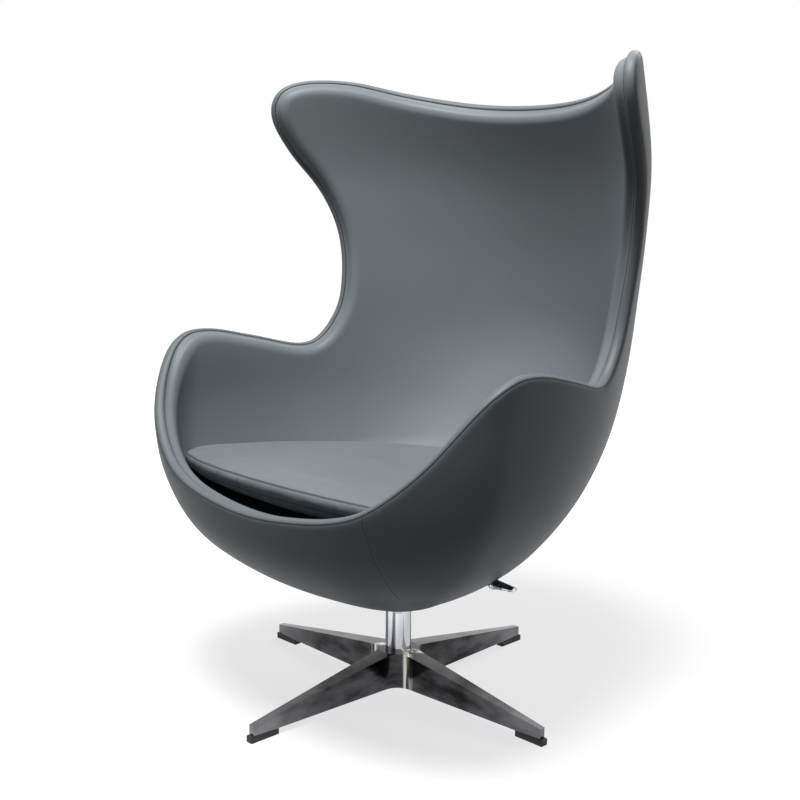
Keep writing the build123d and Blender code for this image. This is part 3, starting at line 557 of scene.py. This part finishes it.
# The loose cushion is a foam block in a boxed leather cover with a narrow border, pressed into
# the bowl. Its front edge slopes up and stands clear of the lip, with a dark gap below it.
SLOPE = math.tan(math.radians(4.3))
CUSHION_ROWS = [
    (170.6, 150, 110, -120, -20), (176, 230, 180, -180, -60), (186, 290, 232, -232, -100),
    (198, 322, 262, -272, -150), (210, 342, 276, -292, -180), (231, 346, 278, -294, -184),
    (241, 325, 262, -276, -165), (249, 262, 214, -226, -110), (253, 140, 110, -120, -50),
]
LOWER_SEAM, UPPER_SEAM = 210, 231
CUSHION_GAP, CUSHION_REST, CUSHION_INSET = 2.6, 0.6, 3.0
CUSHION_COLUMNS = 120
CUSHION_HALF, CUSHION_REACH, CUSHION_MIDDLE = 340, 275, -5
# the border's slack leather: waves per radian, change with height, seed and size in millimetres
SLACK = [(9.0, 0.03, 3.1, 3.0), (26.0, 0.05, 7.7, 1.3)]
BORDER_FROM, FRONT_FROM, FRONT_SLACK, SIDE_SLACK = 0.9, -150, 0.6, 0.2
SEAM_PULL, SEAM_PULL_VARIES, SEAM_REACH, STITCHES = 2.4, 0.9, 5.0, 34.0


def held_in(point):
    """A point in millimetres, drawn in to the hollow and lifted to its floor where it is outside."""
    half, back, front, widest = row_at(HOLLOW_ROWS, point.z - SHELL_BOTTOM)
    ahead = point.y < widest
    power = FRONT_POWER if ahead else BACK_POWER
    reach = (widest - front if ahead else back - widest) - CUSHION_GAP
    size = (abs(point.x / (half - CUSHION_GAP)) ** power
            + abs((point.y - widest) / reach) ** power) ** (1 / power)
    if size > 1:
        point = Vector((point.x / size, widest + (point.y - widest) / size, point.z))
    return Vector((point.x, point.y, max(point.z, SHELL_BOTTOM + BOWL_FLOOR + CUSHION_REST)))


def cushion_column(bearing):
    """Points up the cushion's side from the middle of its underside to the middle of its top."""
    column = []
    for height, half, back, front, widest in CUSHION_ROWS:
        x, y = plan_point(bearing, half - CUSHION_INSET, back - CUSHION_INSET, front + CUSHION_INSET, widest)
        share = min(1, max(0, (height - CUSHION_ROWS[0][0]) / (LOWER_SEAM - CUSHION_ROWS[0][0])))
        inset = CUSHION_INSET * ((height < LOWER_SEAM) - (height > UPPER_SEAM))
        column.append(held_in(Vector((x, y, SHELL_BOTTOM + height + inset - SLOPE * share * y))))
    return [Vector((0, 0, column[0].z)), *column, Vector((0, -40, column[-1].z))]


def puckered(point):
    """A point of the cushion's cover once the border is slack and its two seams are drawn tight."""
    if math.hypot(point.x / CUSHION_HALF, (point.y - CUSHION_MIDDLE) / CUSHION_REACH) > BORDER_FROM:
        tilt = point.z - SHELL_BOTTOM + SLOPE * point.y
        away = Vector((point.x, point.y + 60, 0)).normalized()
        along = math.atan2(point.x, -point.y - 20)
        wave = sum(size * noise.noise(Vector((along * turns, tilt * change, seed)))
                   for turns, change, seed, size in SLACK)
        point.z += wave * (FRONT_SLACK if point.y < FRONT_FROM else SIDE_SLACK)
        for seam in (LOWER_SEAM, UPPER_SEAM):
            stitch = noise.noise(Vector((along * STITCHES, seam, 0)))
            near = math.exp(-((tilt - seam) / SEAM_REACH) ** 2)
            point -= away * near * (SEAM_PULL + SEAM_PULL_VARIES * stitch)
    return held_in(point)


cushion_columns = [cushion_column(360 * k / CUSHION_COLUMNS) for k in range(CUSHION_COLUMNS)]
block = woven_into("cushion_block", cushion_columns, 1)
remesh = block.modifiers.new("voxels", "REMESH")
remesh.mode, remesh.voxel_size = "VOXEL", 0.006
evaluated = block.evaluated_get(bpy.context.evaluated_depsgraph_get())
bm = bmesh.new()
bm.from_mesh(evaluated.to_mesh())
evaluated.to_mesh_clear()
bpy.data.objects.remove(block)
for vert in bm.verts:
    vert.co = puckered(vert.co / MM) * MM
cushion = placed("seat_cushion_leather", bm)
rounded(cushion)
cushion_leather = grey_leather("cushion_leather")
side, ahead = abs(cushion_leather.part(0)), cushion_leather.part(1)
tilt = cushion_leather.part(2) + SLOPE * ahead - SHELL_BOTTOM * MM
upper_line, lower_line = abs(tilt - UPPER_SEAM * MM), abs(tilt - LOWER_SEAM * MM)
off_middle = (side / (CUSHION_HALF * MM)) ** 2 + ((ahead - CUSHION_MIDDLE * MM) / (CUSHION_REACH * MM)) ** 2
at_edge = off_middle.rising(0.78, 0.84)
groove = (upper_line.rising(0.0022, 0.0004) + lower_line.rising(0.0022, 0.0004)) * at_edge
creases = cushion_leather.noise(55, 3, (1, 1, 0.35)) * at_edge
# painted shade in the cushion's two seam grooves
drawn_in(cushion_leather, groove, 0.7, creases * 0.0018)
cushion.data.materials.append(cushion_leather.material)
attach(cushion, "cushion")
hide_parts("cushion_foam", "cushion_top_cover", "cushion_border", "cushion_base_cover", "cushion_zip")

# The floor is a plain pale sheet. What the camera sees of it, also in metal, is pale and turns to
# white away from the chair; to all other light it is dark, so nothing is lit from below.
FLOOR_RADIUS = 9


def seen_by_camera(nodes):
    """1 for what the camera sees, directly or in metal or glass, and 0 for other light."""
    return sum(nodes.node("ShaderNodeLightPath", {}, out=kind)
               for kind in ("Is Camera Ray", "Is Glossy Ray", "Is Transmission Ray"))


bm = bmesh.new()
bmesh.ops.create_circle(bm, cap_ends=True, segments=64, radius=FLOOR_RADIUS)
floor = placed("floor", bm)
paper = Finish("pale_floor", roughness=0.9, specular_ior_level=0.1, emission_strength=1.0)
far = (paper.part(0) ** 2 + paper.part(1) ** 2).rising(0.3, 4.0)
seen = seen_by_camera(paper)
paper.set(base_color=paper.blend(seen, (0.05, 0.05, 0.05), (0.35, 0.35, 0.35)),
          emission_color=paper.blend(seen, (0, 0, 0), paper.blend(far, (0.72, 0.72, 0.73), (1, 1, 1))))
floor.data.materials.append(paper.material)

# Plain soft studio light: one large lamp high over the seat and a little in front of it, a weak
# one behind the chair, and a dim even room behind a white backdrop.
world = bpy.data.worlds.new("room")
bpy.context.scene.world = world
room = Nodes(world)
dim = room.node("ShaderNodeBackground", {}, ("Color", (0.9, 0.95, 1.0, 1)), ("Strength", 0.06))
white = room.node("ShaderNodeBackground", {}, ("Color", (1, 1, 1, 1)), ("Strength", 1.0))
shown = room.node("ShaderNodeMixShader", {}, (0, seen_by_camera(room)), (1, dim), (2, white))
room.tree.links.new(shown.output, room.tree.nodes["World Output"].inputs["Surface"])
LAMPS = [
    # name, place, target, width in metres, power in watts
    ("key", (0.25, -0.75, 3.2), (0, 0, 0.6), 1.5, 175),
    ("rear", (-0.3, 2.4, 2.4), (0, 0, 0.5), 1.6, 22),
]
for name, place, target, width, power in LAMPS:
    lamp = bpy.data.objects.new(name, bpy.data.lights.new(name, "AREA"))
    lamp.data.shape, lamp.data.size, lamp.data.energy = "DISK", width, power
    lamp.location = place
    lamp.rotation_euler = (Vector(target) - Vector(place)).to_track_quat("-Z", "Y").to_euler()
    bpy.context.collection.objects.link(lamp)
